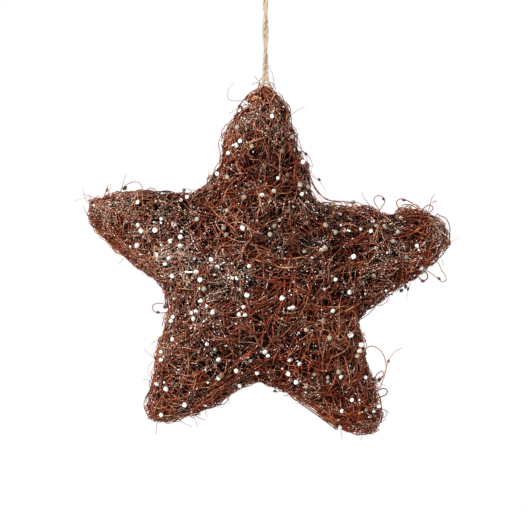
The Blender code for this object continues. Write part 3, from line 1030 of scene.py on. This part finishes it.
# Dried bud: dull, wrinkled skin, near black to olive brown.
dried_bud, shader = new_material("dried_bud_skin")
tone = add_node(dried_bud, "Attribute", "Fac", attribute_name="tone")
bud_colour = add_node(dried_bud, "ValToRGB", "Color", {"Fac": tone}, (
    (0.00, "#14110f"), (0.40, "#47261a"), (0.65, "#6b3a26"), (1.00, "#4d5540"),
))
place = add_node(dried_bud, "TexCoord", "Object")
wrinkles = add_node(dried_bud, "TexNoise", "Fac", {"Vector": place, "Scale": 1 / 0.0008, "Detail": 2.0})
bump = add_node(dried_bud, "Bump", "Normal", {"Height": wrinkles, "Strength": 0.8, "Distance": 0.0003})
set_inputs(shader, {"Base Color": bud_colour, "Roughness": 0.6, "Normal": bump})

chance = random.Random(BUD_SEED)
shoot_points = [(point, line) for line, *_ in tendrils for point in line[1:-1]]
buds = []
for pixel, length, thickness, tone_level in BUDS:
    flat = at_pixel(pixel)
    nearest, line = min(shoot_points, key=lambda pair: math.hypot(pair[0].x - flat.x, pair[0].z - flat.z))
    if math.hypot(nearest.x - flat.x, nearest.z - flat.z) < BUD_REACH:
        k = line.index(nearest)
        middle = at_pixel(pixel, nearest.y)
        heading = (line[k + 1] - line[k - 1]).normalized()
    else:
        middle = over_star(flat, BUD_LIFT)
        heading = Vector((chance.gauss(0, 1), chance.gauss(0, 0.4), chance.gauss(0, 1))).normalized()
    shares = np.linspace(-0.5, 0.5, len(BUD_PROFILE))
    line = [middle + heading * length * share for share in shares]
    buds.append((line, np.array(BUD_PROFILE) * thickness, tone_level))
new_piece("dried_buds", tubes(buds, 8), dried_bud)

# Pale flecks: thin round dabs and paper dots, 3 mm wide, that were scattered over the glued vine.
# Most are white, some pale grey green or straw, and a few dark. Many of the grey ones are white dots turned
# away from the light, drawn grey as painted shade. The lists have their pixels in the frame.
WHITE_FLECKS = (
    (161, 219), (138, 225), (141, 231), (155, 230), (137, 202), (181, 200), (187, 197), (180.5, 237),
    (170, 241), (180, 246), (137, 245.6), (156, 255), (169, 258), (165, 264), (172, 276), (194, 258),
    (211, 259.5), (217, 267), (196, 272), (200, 279.5), (174, 224.5), (272, 116), (240, 141),
    (236.5, 145.5), (228, 153), (217, 174), (278, 178), (262, 195), (303, 162), (302, 194), (242.5, 228),
    (249, 266), (232, 278), (237, 278), (239, 289.5), (247, 295), (243.5, 307), (282, 298),
    (292.5, 307.5), (206.6, 306.5), (200.4, 300.5), (324, 289.5), (321, 250), (372.5, 221), (371, 231),
    (361, 229), (417, 246), (353.5, 256.6), (335.4, 279.5), (349.7, 292), (362, 283), (421.5, 268.5),
    (191, 313), (196, 312), (213, 312), (193.6, 319), (173, 317), (171, 321), (239, 314.6), (245, 315),
    (207, 344), (218.6, 360), (218.6, 378), (236, 371), (257, 373), (250, 361), (268, 356), (265, 352),
    (239.6, 386), (173, 340), (161, 352), (161, 360), (157, 384), (166, 389), (184.6, 405), (205, 405),
    (161, 415), (333, 311), (289.5, 360), (299.6, 364), (288, 374), (296, 382), (341, 377),
    (365.6, 377.5), (342, 411), (374, 411), (379, 406), (340, 427), (361.5, 345), (351, 335), (352, 400),
)
# Grey flecks: some are grey green or straw dots, and some are white dots turned from the light, with painted
# shade.
GREY_AND_SHADED_FLECKS = (
    (168, 233), (197, 219), (223.5, 228), (226, 234.5), (227, 210.5), (279, 118.6), (274, 191),
    (251, 146), (282, 151), (300, 185), (308, 187), (304, 192), (227, 177), (211, 187), (287.5, 175),
    (237, 127), (276, 125), (292, 137), (244, 197), (287.5, 210.6), (279.6, 220), (274, 226),
    (270, 234.5), (306, 223), (325.6, 225), (325, 248.5), (304.5, 251), (204, 289), (376, 225.5),
    (384.6, 226), (351, 219), (353, 202.5), (333, 204), (346, 202.5), (400, 212), (401, 218), (397, 217),
    (334, 213), (340, 214), (335.6, 232), (393, 241), (398, 232), (406, 257), (373.6, 276), (200, 296),
    (215, 350), (221, 376), (306, 329.5), (323, 321), (329.5, 338), (306, 386), (291, 380),
    (314.6, 374.6), (328, 378), (328, 382), (339, 372), (367, 410), (359.6, 351), (357, 356), (362, 308),
)
DARK_FLECKS = (
    (288, 181.6), (276.7, 213), (269, 294.5), (369, 225.5), (381, 216), (377, 259), (211, 350),
    (314.5, 383), (340, 393),
)
WHITE_TONES = (0.88, 1.0)
GREY_AND_SHADED_TONES = (0.30, 0.78)
DARK_TONES = (0.04, 0.18)
FLECK_RADII = (0.00125, 0.00185)
FLECK_TILT = 0.40
FLECK_THICKNESS = 0.00030
FLECK_LIFT = 0.00025
RAGGED_REACH = 0.00045
RAGGED_SIZE = 0.0016
# The back has its own flecks, and all sides have specks, which are crumbs of the same.
BACK_FLECK_STARTS = 600
BACK_FACING = -0.15
BACK_WHITES = (0.95, 0.92, 0.98)
BACK_DARK = 0.1
SPECK_STARTS = 1260
SPECK_RADII = (0.00050, 0.00085)
SPECK_TONES = (0.93, 0.96, 0.80, 0.70)
FLECK_SEED = 61
# Scraps are short torn strips and smears of the same white, as the two pixels between which they lie.
WHITE_SCRAPS = (
    ((216, 267), (225, 262)), ((196, 272), (185, 272)), ((136, 247), (140, 243)),
    ((155, 252), (157, 260)), ((163, 269), (168, 264)), ((178, 248), (183, 245)),
    ((212, 290), (208, 297)), ((247, 281), (246, 286)), ((203, 322), (207, 319)),
    ((260, 351), (266, 353)), ((215, 380), (219, 377)), ((204, 404), (209, 407)),
    ((290, 290), (286, 297)), ((372, 229), (368, 235)), ((346, 331), (350, 338)),
    ((232, 146), (237, 143)),
)
SCRAP_RADIUS = 0.0005
SCRAP_SWELLS = (0.7, 1.3)
SCRAP_LIFT = 0.0003
SCRAP_STEP = 0.0010
SCRAP_TONE = 0.97

# Fleck paper: matt and opaque, white to grey green and straw, with a few dark ones. Part of its grey is
# painted shade on white dots.
fleck_paper, shader = new_material("matt_fleck_paper")
tone = add_node(fleck_paper, "Attribute", "Fac", attribute_name="tone")
place = add_node(fleck_paper, "TexCoord", "Object")
cloud = add_node(fleck_paper, "TexNoise", "Fac", {"Vector": place, "Scale": 1 / 0.0012, "Detail": 2.0})
bump = add_node(fleck_paper, "Bump", "Normal", {"Height": cloud, "Strength": 0.3, "Distance": 0.0002})
cloud_shift = add_node(fleck_paper, "MapRange", "Result", {
    "Value": cloud, "From Min": 0.3, "From Max": 0.7, "To Min": -0.05, "To Max": 0.05,
})
fleck_shade = add_node(fleck_paper, "Math", "Value", {0: tone, 1: cloud_shift}, operation="ADD")
fleck_colour = add_node(fleck_paper, "ValToRGB", "Color", {"Fac": fleck_shade}, (
    (0.05, "#17130f"), (0.20, "#3a3024"), (0.32, "#6e5640"), (0.45, "#857560"),
    (0.58, "#8f8a78"), (0.75, "#ada08a"), (0.88, "#dedad5"), (1.00, "#f2f0ec"),
))
set_inputs(shader, {
    "Base Color": fleck_colour, "Roughness": 0.7, "Specular IOR Level": 0.3, "Normal": bump,
})


def resting_place(start, way, radius):
    """Where a small disc comes to rest on the strands when it falls along a ray, or none."""
    side = way.orthogonal().normalized()
    across = way.cross(side)
    falls = []
    for out, angle in ((0.0, 0.0), *((0.7, math.pi * i / 3) for i in range(6))):
        offset = (side * math.cos(angle) + across * math.sin(angle)) * radius * out
        hit = first_strand(start + offset, way)
        if hit:
            falls.append((hit - start - offset).dot(way))
    if not falls:
        return None
    falls.sort()
    return start + way * (falls[chance.choice((0, 0, len(falls) // 3))] - FLECK_LIFT)


def fallen(start, radius):
    """Where a disc rests that fell straight on to the star near a place, and the way it faces there."""
    _, up, _, _ = former.find_nearest(start)
    return resting_place(start + up * SKIN_SEARCH, -up, radius), up


def disc(middle, facing, thickness):
    """The two ends of the short tube that makes a disc."""
    half = facing * thickness / 2
    return [middle - half, middle + half]


def add_fleck(place, facing, tone_level, sizes=FLECK_RADII):
    """One disc at a place, tilted a little from the way that it faces."""
    facing = (facing + scatter(FLECK_TILT)).normalized()
    flecks.append((disc(place, facing, FLECK_THICKNESS), chance.uniform(*sizes), tone_level))


chance = random.Random(FLECK_SEED)
flecks = []
for pixels, tones in ((WHITE_FLECKS, WHITE_TONES), (GREY_AND_SHADED_FLECKS, GREY_AND_SHADED_TONES), (DARK_FLECKS, DARK_TONES)):
    for point in map(at_pixel, pixels):
        way = (point - CAMERA_PLACE).normalized()
        place = resting_place(CAMERA_PLACE, way, FLECK_RADII[0]) or point
        _, up, _, _ = former.find_nearest(place)
        add_fleck(place, up * 0.5 - way, chance.uniform(*tones))
for start in starts(BACK_FLECK_STARTS):
    place, up = fallen(start, FLECK_RADII[0])
    if place and up.y >= BACK_FACING:
        shaded_greys = [chance.uniform(*GREY_AND_SHADED_TONES) for _ in range(2)]
        add_fleck(place, up, chance.choice((*BACK_WHITES, *shaded_greys, BACK_DARK)))
for start in starts(SPECK_STARTS):
    place, up = fallen(start, SPECK_RADII[0])
    if place and chance.random() < drift(place):
        add_fleck(place, up, chance.choice(SPECK_TONES), SPECK_RADII)
fleck_mesh = tubes(flecks, 12, smooth=False)
# They were cut and torn by hand, so none is quite round.
noise.seed_set(FLECK_SEED)
for corner in fleck_mesh.vertices:
    corner.co += noise.noise_vector(corner.co / RAGGED_SIZE) * RAGGED_REACH
new_piece("pale_flecks", fleck_mesh, fleck_paper)

scraps = []
for pixels in WHITE_SCRAPS:
    line = [over_winding(point, SCRAP_LIFT) or point for point in smooth_line(pixels, SCRAP_STEP)]
    radii = SCRAP_RADIUS * np.array([chance.uniform(*SCRAP_SWELLS) for _ in line])
    scraps.append((with_even_depths(line, 2), radii, SCRAP_TONE))
new_piece("white_scraps", tubes(scraps, 6, smooth=False), fleck_paper)

# Glitter: flakes of bright foil, 0.7 mm or so wide, that fell on the glue. They lie any way on the outer
# strands, thick in the same drifts as the frosting.
FLAKE_COUNT = 12000
FLAKE_RADII = (0.00028, 0.00055)
FLAKE_THICKNESS = 0.00010
FLAKE_TILT = 0.5
FLAKE_SHIFT = 0.0002
GLITTER_SEED = 21

# Foil: satin flakes that flash or go dull with their tilt. Each also has a random brightness, from brown grey
# to white, painted into its colour as painted glints and painted shade.
bright_foil, shader = new_material("silver_foil_glitter")
tone = add_node(bright_foil, "Attribute", "Fac", attribute_name="tone")
foil_colour_painted_glint = add_node(bright_foil, "ValToRGB", "Color", {"Fac": tone}, (
    (0.0, "#8a6c59"), (0.35, "#c0a791"), (0.7, "#ecdfd3"), (1.0, "#ffffff"),
))
set_inputs(shader, {"Base Color": foil_colour_painted_glint, "Metallic": 0.3, "Roughness": 0.4})

chance = random.Random(GLITTER_SEED)
flakes = []
strands = layers["outer_winding"] + layers["top_winding"]
while len(flakes) < FLAKE_COUNT:
    line, radius, *_, ups = strands[chance.randrange(len(strands))]
    k = chance.randrange(1, len(line) - 1)
    if chance.random() > drift(line[k]):
        continue
    along = line[k] + (line[k + 1] - line[k]) * chance.random()
    up = Vector(ups[k])
    facing = (up + scatter(FLAKE_TILT)).normalized()
    middle = Vector(along) + up * radius + scatter(FLAKE_SHIFT)
    flakes.append((disc(middle, facing, FLAKE_THICKNESS), chance.uniform(*FLAKE_RADII), chance.random()))
new_piece("foil_glitter", tubes(flakes, 4, smooth=False), bright_foil)

# Studio: a plain pale floor far below, white all round, a large soft light from the front left and a weaker
# one from behind.
FLOOR_Z = -2.20
FLOOR_RADIUS = 12.0
FLOOR_SIDES = 96
LIGHT_SIZE = 0.8
KEY_LIGHT_PLACE = (-0.9, -1.5, 0.6)
KEY_LIGHT_WATTS = 50.0
BACK_LIGHT_PLACE = (0.9, 1.5, 0.6)
BACK_LIGHT_WATTS = 35.0

disc_of_floor = bmesh.new()
bmesh.ops.create_circle(disc_of_floor, cap_ends=True, segments=FLOOR_SIDES, radius=FLOOR_RADIUS)
bmesh.ops.translate(disc_of_floor, verts=disc_of_floor.verts, vec=(0.0, 0.0, FLOOR_Z))
floor_mesh = bpy.data.meshes.new("studio_floor")
disc_of_floor.to_mesh(floor_mesh)
disc_of_floor.free()
floor = add_object("studio_floor", floor_mesh)
pale_floor, shader = new_material("pale_painted_floor")
set_inputs(shader, {"Base Color": linear("#ececea"), "Roughness": 0.8})
floor_mesh.materials.append(pale_floor)

world = bpy.data.worlds.new("white_surround")
world.use_nodes = True
set_inputs(world.node_tree.nodes["Background"], {"Color": linear("#ffffff"), "Strength": 1.0})
bpy.context.scene.world = world


def soft_light(name, place, power):
    """A square soft light aimed at the middle of the view."""
    data = bpy.data.lights.new(name, "AREA")
    data.size = LIGHT_SIZE
    data.energy = power
    made = add_object(name, data)
    made.location = place
    made.rotation_euler = (Vector(place) - VIEW_MIDDLE).to_track_quat("Z", "Y").to_euler()


soft_light("key_light", KEY_LIGHT_PLACE, KEY_LIGHT_WATTS)
soft_light("back_light", BACK_LIGHT_PLACE, BACK_LIGHT_WATTS)
